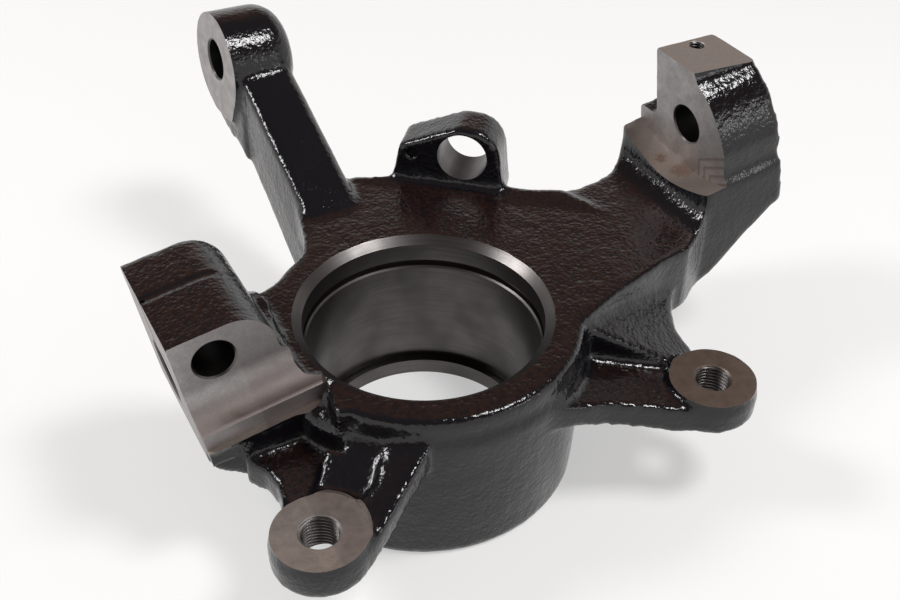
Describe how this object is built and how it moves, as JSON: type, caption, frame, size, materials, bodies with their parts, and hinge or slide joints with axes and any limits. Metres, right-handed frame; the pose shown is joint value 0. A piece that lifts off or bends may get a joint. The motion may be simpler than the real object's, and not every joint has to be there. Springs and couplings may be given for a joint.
{
  "type": "steering knuckle",
  "caption": "Cast steering knuckle with a pressed bearing bore, ball joint clamp, upper mount, steering arm, sensor boss and caliper lugs.",
  "frame": {"origin": "middle of the wheel bearing seat, on the bearing axis", "axes": "+Z along the bearing axis towards the mouth of the bore, +X towards the upper mount and parallel to the line of the caliper holes, +Y towards the steering arm"},
  "size_m": [0.2278, 0.2312, 0.1063],
  "materials": {
    "painted_casting": "gloss black paint over rough sand-cast iron",
    "machined_iron": "bare milled, bored and threaded iron, satin, with faint tool marks"
  },
  "bodies": {
    "root": {"knuckle": "painted_casting"}
  },
  "joints": []
}
